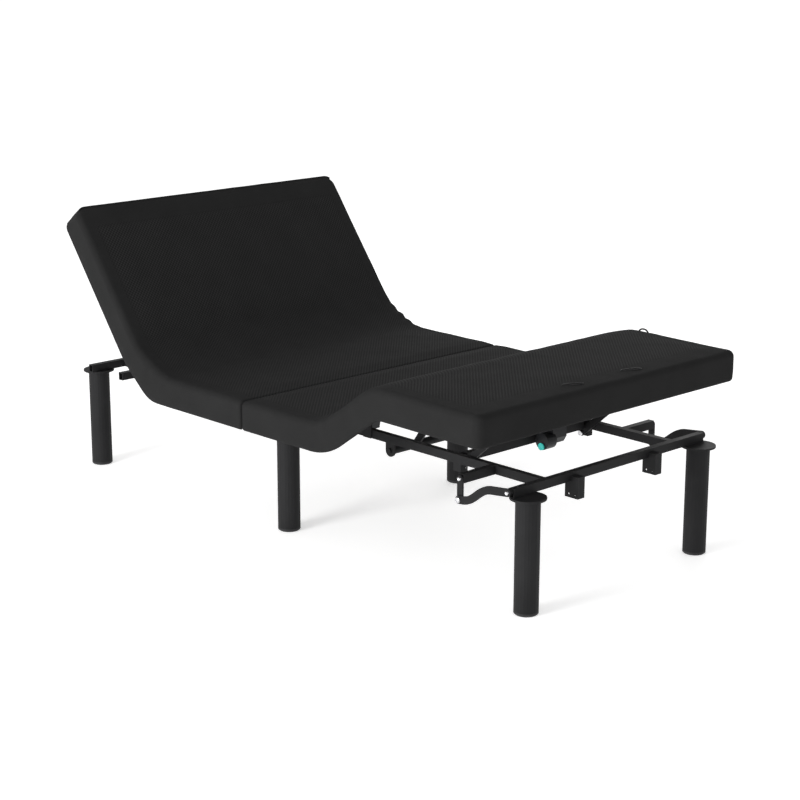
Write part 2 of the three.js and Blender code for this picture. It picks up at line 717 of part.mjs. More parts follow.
// Head half of the frame
add(base, "head_rail_right", headRail(-1), BLACK_STEEL);
add(base, "head_rail_left", headRail(1), BLACK_STEEL);
add(base, "head_cross_tube", tubeY(-CROSS_X, -HEAD_CROSS_HALF, HEAD_CROSS_HALF, TUBE_MID_Z),
  BLACK_STEEL);
add(base, "head_inner_tube", innerCrossTube(HEAD_INNER_X, BACK_TRUNNION, BACK_CRANK.y), BLACK_STEEL);
const LEGS = {
  head_leg_right: [-LEG_X, -LEG_Y],
  head_leg_left: [-LEG_X, LEG_Y],
  middle_leg_right: [0, -LEG_Y],
  middle_leg_left: [0, LEG_Y],
  foot_leg_right: [LEG_X, -LEG_Y],
  foot_leg_left: [LEG_X, LEG_Y],
};
for (const [name, place] of Object.entries(LEGS)) {
  add(base, name, leg(...place), BLACK_STEEL);
  add(base, `${name}_glide`, glide(...place), BLACK_PLASTIC);
}
add(base, "control_box", controlBox(), BLACK_PLASTIC);
seatHalf("rear_seat", BACK_HINGE_X, 0, BACK_FOLD, SEAM_FOLD,
  [BACK_HINGE_X, 1, REAR_SEAT_UNDERCUT]);
add(tilted(base, BACK_HINGE_X, HINGE_Z, 0), "back_hinge_seat_leaf", outerLeaf(1), ZINC);
add(base, "fold_hinge_head_leaf", seamOuterLeaf(-1), BLACK_STEEL);

// Foot half of the frame
add(base, "foot_rail_right", footRail(-1), BLACK_STEEL);
add(base, "foot_rail_left", footRail(1), BLACK_STEEL);
add(base, "foot_cross_tube", tubeY(CROSS_X, -FOOT_CROSS_HALF, FOOT_CROSS_HALF, TUBE_MID_Z),
  BLACK_STEEL);
// Its ends are notched so that the calf arms can swing up beside the rails
const armNotches = [-1, 1].map((sy) => block(FOOT_INNER_X - 4.5, FOOT_INNER_X + 10,
  ...span(sy, CALF_ARM.y - 6, RAIL_Y), TUBE_BOTTOM_Z - 1, TUBE_TOP_Z + 1));
add(base, "foot_inner_tube",
  cut(innerCrossTube(FOOT_INNER_X, THIGH_TRUNNION, THIGH_CRANK.y), ...armNotches), BLACK_STEEL);
add(base, "footboard_bracket_right", footboardBracket(-1), BLACK_STEEL);
add(base, "footboard_bracket_left", footboardBracket(1), BLACK_STEEL);
add(base, "brace_link_right", braceLink(-1), BLACK_STEEL);
add(base, "brace_link_left", braceLink(1), BLACK_STEEL);
add(base, "brace_arm_right", braceArm(-1), BLACK_STEEL);
add(base, "brace_arm_left", braceArm(1), BLACK_STEEL);
seatHalf("front_seat", 0, THIGH_HINGE_X, SEAM_FOLD, THIGH_FOLD,
  [THIGH_HINGE_X, -1, THIGH_UNDERCUT]);
add(base, "fold_hinge_foot_leaf", seamMiddleLeaf(1), BLACK_STEEL);
add(tilted(base, THIGH_HINGE_X, HINGE_Z, 0), "thigh_hinge_seat_leaf", outerLeaf(-1), ZINC);

// Back section
const back = tilted(base, BACK_HINGE_X, HINGE_Z, BACK_ANGLE);
deckSection(back, {
  name: "back", from: -BACK_LENGTH, to: 0, start: flush, end: BACK_FOLD, brace: -BACK_LENGTH / 4,
  undercuts: [[0, -1, BACK_UNDERCUT]],
});
add(back, "back_hinge_back_leaf", middleLeaf(-1), ZINC);

// Thigh section
const thigh = tilted(base, THIGH_HINGE_X, HINGE_Z, -THIGH_ANGLE);
deckSection(thigh, {
  name: "thigh", from: 0, to: THIGH_LENGTH, start: THIGH_FOLD, end: KNEE_FOLD, brace: 74,
  undercuts: [[0, 1, THIGH_UNDERCUT]],
  bevels: [[THIGH_LENGTH, -1, KNEE_BEVEL]],
});
add(thigh, "thigh_hinge_thigh_leaf", middleLeaf(1), ZINC);
const kneeOnThigh = tilted(thigh, THIGH_LENGTH, 0, 0);
add(kneeOnThigh, "knee_hinge_thigh_leaf", outerLeaf(-1), ZINC);

// Calf section
const calf = tilted(thigh, THIGH_LENGTH, 0, THIGH_ANGLE + CALF_ANGLE);
deckSection(calf, {
  name: "calf", from: 0, to: CALF_LENGTH, start: KNEE_FOLD, end: flush, brace: CALF_LENGTH / 3,
  bevels: [[0, 1, KNEE_BEVEL]],
});
add(calf, "knee_hinge_calf_leaf", middleLeaf(1), ZINC);
add(calf, "mattress_retainer", retainerLoop(34, 50, 474), BLACK_STEEL);

// Back lift
const backShaft = { x: BACK_HINGE_X, z: SHAFT_Z };
add(base, "back_lift_shaft", liftShaft(backShaft, -1, BACK_ARM, BACK_CRANK), BLACK_STEEL);
add(base, "back_roller_right", roller(-1, backShaft, -1, BACK_ARM), NYLON);
add(base, "back_roller_left", roller(1, backShaft, -1, BACK_ARM), NYLON);

function placeActuator(names, trunnion, crankTip, y, motor, stroke) {
  const dx = trunnion.x - crankTip.x;
  const dz = crankTip.z - trunnion.z;
  const group = tilted(base, trunnion.x, trunnion.z, THREE.MathUtils.radToDeg(Math.atan2(dz, dx)));
  group.position.y = y;
  const length = Math.hypot(dx, dz);
  add(group, names[0], actuator(stroke, motor), BLACK_PLASTIC);
  add(group, names[1], actuatorRod(length, motor.tube), ZINC);
  return group;
}

const BACK_MOTOR = {
  tube: 250, radius: 22, x: 40, z: -32, reach: 110,
  gearbox: [[16, -16], [18, -46], [66, -56], [74, -30], [66, 18], [16, 18]],
};
placeActuator(["back_actuator", "back_actuator_rod"], BACK_TRUNNION,
  tip(backShaft, -1, BACK_CRANK), BACK_CRANK.y, BACK_MOTOR, 60);

// Thigh lift
const thighShaft = { x: THIGH_HINGE_X, z: SHAFT_Z };
add(base, "thigh_lift_shaft", liftShaft(thighShaft, 1, THIGH_ARM, THIGH_CRANK), BLACK_STEEL);
add(base, "thigh_roller_right", roller(-1, thighShaft, 1, THIGH_ARM), NYLON);
add(base, "thigh_roller_left", roller(1, thighShaft, 1, THIGH_ARM), NYLON);

const THIGH_MOTOR = {
  tube: 150, radius: 22, x: 36, z: -34, reach: 54,
  gearbox: [[14, -16], [16, -40], [40, -46], [50, -30], [50, 14], [14, 16]],
};
const thighActuator = placeActuator(["foot_actuator", "foot_actuator_rod"], THIGH_TRUNNION,
  tip(thighShaft, 1, THIGH_CRANK), THIGH_CRANK.y, THIGH_MOTOR, 45);
add(thighActuator, "motor_cap", barY(9.5, 36, -46.5, -58.5, -54.3, 20), TEAL);

// Calf support arms
add(base, "calf_arms", calfArms(), BLACK_STEEL);
add(base, "calf_roller_right", roller(-1, CALF_PIVOT, 1, CALF_ARM, -1), NYLON);
add(base, "calf_roller_left", roller(1, CALF_PIVOT, 1, CALF_ARM, -1), NYLON);

export default base;
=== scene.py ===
"""Adjustable bed base: upholstered deck, folding steel frame and lifting gear, in metres."""
import json
import math

import bmesh
import bpy
import numpy as np
from mathutils import Matrix, Vector, noise


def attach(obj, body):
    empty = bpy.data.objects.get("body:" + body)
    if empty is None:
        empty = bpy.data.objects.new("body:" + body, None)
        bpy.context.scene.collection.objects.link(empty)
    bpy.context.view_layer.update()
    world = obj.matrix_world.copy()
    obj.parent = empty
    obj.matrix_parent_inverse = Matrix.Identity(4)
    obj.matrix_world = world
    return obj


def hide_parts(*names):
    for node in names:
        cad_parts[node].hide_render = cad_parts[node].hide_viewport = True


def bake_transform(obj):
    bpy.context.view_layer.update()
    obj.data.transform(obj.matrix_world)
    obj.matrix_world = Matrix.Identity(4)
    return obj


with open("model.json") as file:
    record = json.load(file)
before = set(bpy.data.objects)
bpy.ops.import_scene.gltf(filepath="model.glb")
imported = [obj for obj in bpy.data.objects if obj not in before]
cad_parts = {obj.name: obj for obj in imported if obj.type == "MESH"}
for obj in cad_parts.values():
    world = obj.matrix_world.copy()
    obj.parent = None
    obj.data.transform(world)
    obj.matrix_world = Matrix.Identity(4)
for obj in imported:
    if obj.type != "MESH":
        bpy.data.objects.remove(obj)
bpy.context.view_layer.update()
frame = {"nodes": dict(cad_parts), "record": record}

MM = 0.001
scene = bpy.context.scene
nodes = frame["nodes"]


# ---------------------------------------------------------------- materials
class Shader:
    """A small helper for building one material's node tree."""

    def __init__(self, name):
        self.material = bpy.data.materials.new(name)
        self.material.use_nodes = True
        self.tree = self.material.node_tree
        self.tree.nodes.clear()
        self.bsdf = self.add("ShaderNodeBsdfPrincipled")
        out = self.add("ShaderNodeOutputMaterial")
        self.link(self.bsdf, "BSDF", out, "Surface")

    def add(self, kind, **values):
        node = self.tree.nodes.new(kind)
        for key, value in values.items():
            if hasattr(node, key):
                setattr(node, key, value)
            else:
                node.inputs[key.replace("_", " ")].default_value = value
        return node

    def link(self, a, out, b, into):
        self.tree.links.new(a.outputs[out], b.inputs[into])

    def set(self, **values):
        for key, value in values.items():
            self.bsdf.inputs[key.replace("_", " ")].default_value = value

    def math(self, operation, a, b=None):
        node = self.add("ShaderNodeMath", operation=operation)
        for i, source in enumerate((a, b)):
            if source is None:
                continue
            if isinstance(source, (int, float)):
                node.inputs[i].default_value = source
            else:
                self.tree.links.new(source, node.inputs[i])
        return node.outputs[0]

    def ramp(self, source, stops):
        node = self.add("ShaderNodeValToRGB")
        elements = node.color_ramp.elements
        while len(elements) < len(stops):
            elements.new(0.5)
        for element, (place, color) in zip(elements, stops):
            element.position = place
            element.color = (*color, 1) if len(color) == 3 else color
        self.tree.links.new(source, node.inputs[0])
        return node.outputs[0]

    def mix(self, factor, a, b, blend="MIX"):
        node = self.add("ShaderNodeMix", data_type="RGBA", blend_type=blend)
        for socket, source in ((node.inputs[0], factor), (node.inputs[6], a), (node.inputs[7], b)):
            if isinstance(source, (int, float)):
                socket.default_value = source
            elif isinstance(source, tuple):
                socket.default_value = (*source, 1)
            else:
                self.tree.links.new(source, socket)
        return node.outputs[2]

    def noise(self, coords, scale, detail=3.0, roughness=0.55, stretch=None):
        if stretch:
            mapping = self.add("ShaderNodeMapping")
            mapping.inputs["Scale"].default_value = stretch
            self.tree.links.new(coords, mapping.inputs["Vector"])
            coords = mapping.outputs[0]
        node = self.add("ShaderNodeTexNoise")
        node.inputs["Scale"].default_value = scale
        node.inputs["Detail"].default_value = detail
        node.inputs["Roughness"].default_value = roughness
        self.tree.links.new(coords, node.inputs["Vector"])
        return node.outputs[0]

    def object_coords(self):
        return self.add("ShaderNodeTexCoord").outputs["Object"]

    def uv(self):
        node = self.add("ShaderNodeUVMap")
        node.uv_map = "flat"
        return node.outputs[0]

    def bump(self, height, strength, distance, before=None):
        node = self.add("ShaderNodeBump")
        node.inputs["Strength"].default_value = strength
        node.inputs["Distance"].default_value = distance
        self.tree.links.new(height, node.inputs["Height"])
        if before is not None:
            self.tree.links.new(before, node.inputs["Normal"])
        return node.outputs[0]

    def into(self, socket, source):
        self.tree.links.new(source, self.bsdf.inputs[socket])


WEAVE_PITCH = 0.0105
THREAD_PITCH = 0.0028
SIDE_BORDER = 0.045
END_BORDER = 0.07


def fabric_material():
    """Charcoal cover: open mesh on the lying surface, plain tight weave on border and sides."""
    s = Shader("deck_fabric_weave")
    uv = s.uv()
    split = s.add("ShaderNodeSeparateXYZ")
    s.tree.links.new(uv, split.inputs[0])
    turn = 2 * math.pi / WEAVE_PITCH
    shift = s.math("MULTIPLY", s.noise(uv, 40, 2.0), 1.1)
    along = s.math("SINE", s.math("ADD", s.math("MULTIPLY", split.outputs[0], turn), shift))
    across = s.math("SINE", s.math("ADD", s.math("MULTIPLY", split.outputs[1], turn), shift))
    grid = s.math("ADD", s.math("MULTIPLY", s.math("MULTIPLY", along, across), 0.5), 0.5)
    thread = 2 * math.pi / THREAD_PITCH
    warp = s.math("SINE", s.math("MULTIPLY", split.outputs[0], thread))
    weft = s.math("SINE", s.math("MULTIPLY", split.outputs[1], thread))
    plain = s.math("ADD", s.math("MULTIPLY", s.math("MULTIPLY", warp, weft), 0.5), 0.5)
    edge = s.add("ShaderNodeUVMap")
    edge.uv_map = "inset"
    inset = s.add("ShaderNodeSeparateXYZ")
    s.tree.links.new(edge.outputs[0], inset.inputs[0])
    sides = s.math("SUBTRACT", inset.outputs[0], SIDE_BORDER)
    ends = s.math("SUBTRACT", inset.outputs[1], END_BORDER)
    distance = s.math("MINIMUM", sides, ends)
    inner = s.ramp(s.math("ADD", s.math("MULTIPLY", distance, 40.0), 0.5),
                   [(0.0, (0, 0, 0)), (1.0, (1, 1, 1))])
    groove = s.ramp(s.math("ABSOLUTE", distance), [(0.0, (0, 0, 0)), (0.0035, (1, 1, 1))])
    fine = s.noise(uv, 1400, 2.0, 0.6)
    slow = s.noise(uv, 9, 3.0, 0.6)
    mesh = s.ramp(grid, [(0.2, (0.0055,) * 3), (0.8, (0.031, 0.031, 0.0312))])
    cloth = s.ramp(plain, [(0.1, (0.0125,) * 3), (0.9, (0.022, 0.022, 0.0222))])
    yarn = s.ramp(fine, [(0.3, (0.008,) * 3), (0.7, (0.024, 0.024, 0.0242))])
    both = s.mix(0.25, s.mix(inner, cloth, mesh), yarn)
    tone = s.ramp(slow, [(0.3, (0.86,) * 3), (0.7, (1.0,) * 3)])
    shade = s.mix(1.0, both, tone, "MULTIPLY")
    s.into("Base Color", s.mix(0.12, shade, groove, "MULTIPLY"))
    s.into("Roughness", s.ramp(fine, [(0.2, (0.85,) * 3), (0.8, (0.98,) * 3)]))
    seam = s.bump(groove, 0.25, 0.0008)
    relief = s.mix(inner, plain, grid)
    first = s.bump(relief, 0.45, 0.0009, seam)
    s.into("Normal", s.bump(fine, 0.2, 0.0004, first))
    s.set(Specular_IOR_Level=0.09)
    return s.material


def steel_material(name, dark, light, roughness):
    """Powder coat: fine orange peel and a painted highlight along the edges; the same mask also
    lightens the inner corners.
    """
    s = Shader(name)
    coords = s.object_coords()
    grain = s.noise(coords, 900, 2.0, 0.5)
    cloud = s.noise(coords, 7, 4.0, 0.6)
    tone = s.ramp(cloud, [(0.35, dark), (0.7, light)])
    edge = s.add("ShaderNodeBevel", samples=4)
    edge.inputs["Radius"].default_value = 0.0012
    geometry = s.add("ShaderNodeNewGeometry")
    compare = s.add("ShaderNodeVectorMath", operation="DOT_PRODUCT")
    s.tree.links.new(edge.outputs[0], compare.inputs[0])
    s.tree.links.new(geometry.outputs["Normal"], compare.inputs[1])
    # painted highlight: colour lightened where the bevelled normal turns from the true one, along
    # edges and in inner corners
    edge_highlight_mask = s.math("SUBTRACT", 1.0, compare.outputs["Value"])
    edge_highlight_mask = s.math("MULTIPLY", edge_highlight_mask, 3.0)
    # the painted highlight's colour, 1.9 times the light tone
    highlight_colour = tuple(min(1.0, c * 1.9) for c in light)
    s.into("Base Color", s.mix(edge_highlight_mask, tone, highlight_colour))
    s.into("Roughness", s.ramp(cloud, [(0.3, (roughness - 0.05,) * 3),
                                       (0.75, (roughness + 0.07,) * 3)]))
    s.into("Normal", s.bump(grain, 0.22, 0.0003))
    s.set(Metallic=0.0, Specular_IOR_Level=0.12)
    return s.material


def wood_material():
    """Dark stained plywood and softwood: long grain with darker flecks."""
    s = Shader("deck_plywood_grain")
    coords = s.object_coords()
    grain = s.noise(coords, 28, 5.0, 0.62, (1.0, 0.06, 1.0))
    fleck = s.noise(coords, 300, 3.0, 0.6, (1.0, 0.12, 1.0))
    body = s.ramp(grain, [(0.3, (0.03, 0.021, 0.014)), (0.52, (0.05, 0.036, 0.024)),
                          (0.75, (0.075, 0.055, 0.038))])
    marks = s.ramp(fleck, [(0.35, (0.72, 0.68, 0.62)), (0.5, (1.0, 1.0, 1.0))])
    s.into("Base Color", s.mix(0.6, body, marks, "MULTIPLY"))
    s.into("Roughness", s.ramp(grain, [(0.3, (0.62,) * 3), (0.7, (0.8,) * 3)]))
    s.into("Normal", s.bump(fleck, 0.2, 0.0004))
    return s.material


def metal_material(name, color, roughness, stretch):
    """Bright metal with a drawn or plated grain."""
    s = Shader(name)
    coords = s.object_coords()
    streak = s.noise(coords, 240, 3.0, 0.6, stretch)
    cloud = s.noise(coords, 20, 3.0, 0.5)
    low = tuple(c * 0.82 for c in color)
    s.into("Base Color", s.ramp(cloud, [(0.3, low), (0.7, color)]))
    s.into("Roughness", s.ramp(streak, [(0.25, (roughness - 0.08,) * 3),
                                        (0.8, (roughness + 0.12,) * 3)]))
    s.into("Normal", s.bump(streak, 0.12, 0.0002))
    s.set(Metallic=1.0)
    return s.material


def plastic_material(name, dark, light, roughness, grain_scale=1100):
    """Moulded plastic with a fine spark-eroded grain."""
    s = Shader(name)
    coords = s.object_coords()
    grain = s.noise(coords, grain_scale, 2.0, 0.5)
    cloud = s.noise(coords, 14, 3.0, 0.5)
    s.into("Base Color", s.ramp(cloud, [(0.3, dark), (0.7, light)]))
    s.into("Roughness", s.ramp(grain, [(0.3, (roughness - 0.06,) * 3),
                                       (0.7, (roughness + 0.08,) * 3)]))
    s.into("Normal", s.bump(grain, 0.18, 0.0002))
    s.set(Specular_IOR_Level=0.3)
    return s.material


FABRIC = fabric_material()
STEEL = steel_material("frame_powder_coat", (0.010, 0.010, 0.0105), (0.015, 0.015, 0.0157), 0.55)
LEG_STEEL = steel_material("leg_powder_coat", (0.011, 0.011, 0.0116), (0.016, 0.016, 0.0168), 0.58)
WOOD = wood_material()
ZINC = metal_material("zinc_plate", (0.72, 0.73, 0.75), 0.32, (1.0, 1.0, 1.0))
BRIGHT = metal_material("bolt_steel", (0.8, 0.8, 0.82), 0.22, (1.0, 1.0, 4.0))
ALUMINIUM = metal_material("actuator_rod_drawn", (0.78, 0.79, 0.8), 0.28, (0.05, 1.0, 1.0))
BLACK_PLASTIC = plastic_material("black_moulded_plastic", (0.004, 0.0044, 0.0055),
                                 (0.007, 0.0075, 0.009), 0.4)
GLIDE_PLASTIC = plastic_material("glide_plastic", (0.014, 0.014, 0.015),
                                 (0.022, 0.022, 0.023), 0.55)
NYLON = plastic_material("roller_nylon", (0.55, 0.54, 0.5), (0.68, 0.67, 0.62), 0.45)
TEAL = plastic_material("motor_cap_teal", (0.03, 0.46, 0.42), (0.045, 0.56, 0.5), 0.3)
WIRE = plastic_material("retainer_dipped_wire", (0.006, 0.006, 0.0063), (0.01, 0.01, 0.0105), 0.4)

SLOT_MATERIALS = {
    "black_steel": STEEL,
    "leg_steel": LEG_STEEL,
    "retainer_wire": WIRE,
    "glide_plastic": GLIDE_PLASTIC,
    "deck_fabric": FABRIC,
    "deck_plywood": WOOD,
    "hinge_zinc": ZINC,
    "actuator_rod": ALUMINIUM,
    "actuator_plastic": BLACK_PLASTIC,
    "motor_cap": TEAL,
    "roller_nylon": NYLON,
}


STEEL_BEVEL = 0.0008
MOULDED_BEVEL = 0.0022
CURVED_BELOW = 32
BEVEL_ABOVE = 40


def dress_cad_nodes():
    """Gives every carried-over node its material, smooth curved faces and a small bevel."""
    for part in frame["record"]["subparts"]:
        obj = nodes[part["node"]]
        obj.data.materials.clear()
        obj.data.materials.append(SLOT_MATERIALS[part["material_slot"]])
        obj.data.shade_smooth()
        obj.data.set_sharp_from_angle(angle=math.radians(CURVED_BELOW))
        if part["material_slot"] in ("deck_fabric", "retainer_wire"):
            continue
        moulded = part["material_slot"] == "actuator_plastic"
        bevel = obj.modifiers.new("edge", "BEVEL")
        bevel.width = MOULDED_BEVEL if moulded else STEEL_BEVEL
        bevel.segments = 2
        bevel.limit_method = "ANGLE"
        bevel.angle_limit = math.radians(BEVEL_ABOVE)
        bevel.harden_normals = True
        bevel.use_clamp_overlap = True


# ---------------------------------------------------------------- deck path
DEPTH = 80.0
HALF_DEPTH = DEPTH / 2
SEAT_TOP_Z = 386.0
SEAT_MID_Z = SEAT_TOP_Z - HALF_DEPTH
HALF_WIDTH = 482.5
SEAM_GAP = 1.2
BACK_ANGLE = 53.0
CALF_ANGLE = -0.6
BACK_BEND = 255.0
THIGH_BEND = 170.0
KNEE_BEND = 95.0
BACK_RUN = 549.0
CALF_RUN = 354.7


class Path:
    """The deck's middle line in the XZ plane, straight runs joined by arcs, in millimetres.

    Each run keeps its distance from the start, its origin, its heading and its bend.
    marks holds the distances at which each arc starts and ends.
    """

    def __init__(self, start, corners, end):
        self.runs = []
        here = np.array(start, float)
        points = [here] + [np.array(c[0], float) for c in corners] + [np.array(end, float)]
        self.length = 0.0
        self.marks = []
        for i, (_, radius) in enumerate(corners):
            into = points[i + 1] - points[i]
            away = points[i + 2] - points[i + 1]
            into /= np.linalg.norm(into)
            away /= np.linalg.norm(away)
            turn = math.atan2(into[0] * away[1] - into[1] * away[0], float(into @ away))
            tangent = radius * math.tan(abs(turn) / 2)
            stop = points[i + 1] - into * tangent
            self.add(here, into, float(np.linalg.norm(stop - here)))
            self.marks.append(self.length)
            self.add(stop, into, abs(turn) * radius, math.copysign(radius, turn))
            self.marks.append(self.length)
            here = points[i + 1] + away * tangent
        last = points[-1] - here
        span = float(np.linalg.norm(last))
        self.add(here, last / span, span)

    def add(self, origin, heading, length, bend=0.0):
        """Adds a run. Its bend is 0 when straight, or the arc's radius, negative to the right."""
        self.runs.append((self.length, origin, heading, bend))
        self.length += length

    def at(self, s):
        """Point and direction at distance s along the line."""
        begin, origin, heading, bend = self.runs[0]
        for run in self.runs:
            if s >= run[0]:
                begin, origin, heading, bend = run
        d = s - begin
        if not bend:
            return origin + heading * d, heading
        radius = abs(bend)
        angle = d / radius
        side = np.array((-heading[1], heading[0])) * math.copysign(1, bend)
        point = origin + side * radius * (1 - math.cos(angle)) + heading * radius * math.sin(angle)
        return point, heading * math.cos(angle) + side * math.sin(angle)


def direction(degrees):
    """The unit direction in the XZ plane at an angle above +X."""
    return np.array((math.cos(math.radians(degrees)), math.sin(math.radians(degrees))))


BACK_CORNER = np.array((-426.0, SEAT_MID_Z))
THIGH_CORNER = np.array((317.7, SEAT_MID_Z))
KNEE_CORNER = np.array((503.2, 474.9))
HEAD_PATH = Path((-SEAM_GAP, SEAT_MID_Z), [(BACK_CORNER, BACK_BEND)],
                 BACK_CORNER + direction(180 - BACK_ANGLE) * BACK_RUN)
FOOT_PATH = Path((SEAM_GAP, SEAT_MID_Z), [(THIGH_CORNER, THIGH_BEND), (KNEE_CORNER, KNEE_BEND)],
                 KNEE_CORNER + direction(CALF_ANGLE) * CALF_RUN)


# ---------------------------------------------------------------- pads
ROLL = 15.0
HEM_ROLL = 9.0
SEAM_ROLL = 8.5
HEM = 5.0
SHELL = 3.0
HEAD_CORNER = 34.0
FOOT_CORNER = 22.0
CROWN = 4.5
CROWN_REACH = 130.0
CROWN_BASE = 1.0
SOFT_DEPTH = 30.0
SIDE_SWELL = 1.2
END_SWELL = 1.0
FACE_BAND = 12.0
GATHER_WAVE = 7.5
SAG = 13.0
SAG_WIDTH = 44.0
SAG_OFFSET = 90.0
CALM_FROM = 8.0
CALM_REACH = 40.0
STILL_REACH = 30.0
LIFT_REACH = 70.0
GATHER_REACH = 38.0
GATHER_DEPTH = 55.0
HEAD_FOLD = (75.0, 7.0, 2.2)
FOOT_FOLD = (45.0, 1.5, 0.7)
TINY = 1e-6
EIGHTH_TURN = math.pi / 4
FRACTIONS = (0, 0.12, 0.25, 0.4, 0.55, 0.7, 0.85, 1.0)


def stations(low, high, fine_low, fine_high, step):
    """Grid lines from low to high, closer together within fine_low and fine_high of the ends."""
    left = [low + f * fine_low for f in FRACTIONS]
    right = [high - f * fine_high for f in FRACTIONS]
    count = max(2, int(round((right[-1] - left[-1]) / step)) + 1)
    inner = np.linspace(left[-1], right[-1], count)
    return sorted(set(np.round(left + list(inner) + right, 4)))


def swell(s, y, d):
    """The slow unevenness of a padded surface, in millimetres."""
    broad = noise.noise(Vector((s * 0.011, y * 0.011, d * 0.02))) * 1.1
    return broad + noise.noise(Vector((s * 0.028 + 7, y * 0.028, d * 0.03))) * 0.5


class Pad:
    """A pad laid flat: s along it from the seam end, y across, d down from its top."""

    def __init__(self, path, corner, cuts=()):
        self.path = path
        self.length = path.length
        self.corner = corner
        self.points = []
        self.faces = []
        self.index = {}
        step = 9
        s_lines = stations(0, self.length, SEAM_ROLL * 2, corner, step)
        self.s_lines = sorted(set(s_lines) | set(cuts))
        self.y_lines = stations(-HALF_WIDTH, HALF_WIDTH, corner, corner, step * 1.3)
        self.d_lines = stations(0, DEPTH, ROLL, HEM_ROLL * 2, 8)
        self.grid()

    def vertex(self, i, j, k):
        """The number of the grid point at these lines, added when it is first asked for."""
        key = (i, j, k)
        if key not in self.index:
            self.index[key] = len(self.points)
            self.points.append((self.s_lines[i], self.y_lines[j], self.d_lines[k]))
        return self.index[key]

    def quad(self, kind, *corners):
        self.faces.append((kind, tuple(self.vertex(*c) for c in corners)))

    def grid(self):
        """The six faces of the box, with only a narrow hem of the bottom one."""
        ns, ny, nd = len(self.s_lines), len(self.y_lines), len(self.d_lines)
        k = nd - 1
        for i in range(ns - 1):
            for j in range(ny - 1):
                self.quad("top", (i, j, 0), (i + 1, j, 0), (i + 1, j + 1, 0), (i, j + 1, 0))
                widest = max(abs(self.y_lines[j]), abs(self.y_lines[j + 1]))
                if min(HALF_WIDTH - widest, self.length - self.s_lines[i + 1]) < HEM:
                    self.quad("bottom", (i, j, k), (i, j + 1, k), (i + 1, j + 1, k), (i + 1, j, k))
        for k in range(nd - 1):
            for i in range(ns - 1):
                j = ny - 1
                self.quad("near", (i, 0, k), (i, 0, k + 1), (i + 1, 0, k + 1), (i + 1, 0, k))
                self.quad("far", (i, j, k), (i + 1, j, k), (i + 1, j, k + 1), (i, j, k + 1))
            for j in range(ny - 1):
                i = ns - 1
                self.quad("end", (i, j, k), (i, j, k + 1), (i, j + 1, k + 1), (i, j + 1, k))
                self.quad("seam", (0, j, k), (0, j + 1, k), (0, j + 1, k + 1), (0, j, k + 1))

    def plan(self, s, y):
        """The rim point outside (s, y), the outward direction there and the distance inward."""
        side = HALF_WIDTH - abs(y)
        end = self.length - s
        sy = 1.0 if y > 0 else -1.0
        corner = self.corner
        if side < corner and end < corner:
            u = 1 - end / corner
            v = 1 - side / corner
            if u > v:
                ring, angle = u, EIGHTH_TURN * (v / u)
            else:
                ring, angle = v, math.pi / 2 - EIGHTH_TURN * (u / max(v, TINY))
            normal = np.array((math.cos(angle), sy * math.sin(angle)))
            middle = np.array((self.length - corner, sy * (HALF_WIDTH - corner)))
            return middle + normal * corner, normal, corner * (1 - ring)
        if side <= end:
            return np.array((s, sy * HALF_WIDTH)), np.array((0.0, sy)), side
        return np.array((self.length, y)), np.array((1.0, 0.0)), end

    def skin(self, s, y, d):
        """The rounded pad's point for one point on the faces or the rim of the box grid.

        The rolled edge is a quarter circle, half of it from the face and half from the rim.
        lean is the surface's slope there, from 0 on the face to a right angle on the rim.
        Points on neither aren't rolled. Close to the seam the outline shrinks along the slope.
        """
        rim, normal, inset = self.plan(s, y)
        up = 1.0 if d < HALF_DEPTH else -1.0
        radius = ROLL if up > 0 else HEM_ROLL
        down = d if up > 0 else DEPTH - d
        depth, lean, reach = d, 0.0, radius
        if down < TINY:
            reach = inset
            lean = EIGHTH_TURN * max(0.0, 1 - inset / radius)
        elif inset < TINY:
            reach = down
            lean = EIGHTH_TURN * min(2.0, 1 + down / radius)
        if reach < radius:
            inset = radius * (1 - math.sin(lean))
            depth = HALF_DEPTH - up * (HALF_DEPTH - radius * (1 - math.cos(lean)))
        if s < SEAM_ROLL:
            shrink = SEAM_ROLL - math.sqrt(max(0.0, SEAM_ROLL ** 2 - (SEAM_ROLL - s) ** 2))
            inset += shrink * math.sin(lean)
            depth += shrink * math.cos(lean) * up
        place = rim - normal * inset
        return np.array((place[0], place[1], depth))

    def rounded(self, s, y, d):
        """As skin, and inside the seam's end face too, which shrinks with its rounded outline."""
        if s > TINY or HALF_WIDTH - abs(y) < TINY or not TINY < d < DEPTH - TINY:
            return self.skin(s, y, d)
        share = max(abs(y) / HALF_WIDTH, abs(d - HALF_DEPTH) / HALF_DEPTH, TINY)
        rim = self.skin(0.0, y / share, HALF_DEPTH + (d - HALF_DEPTH) / share)
        return np.array((rim[0], share * rim[1], HALF_DEPTH + share * (rim[2] - HALF_DEPTH)))

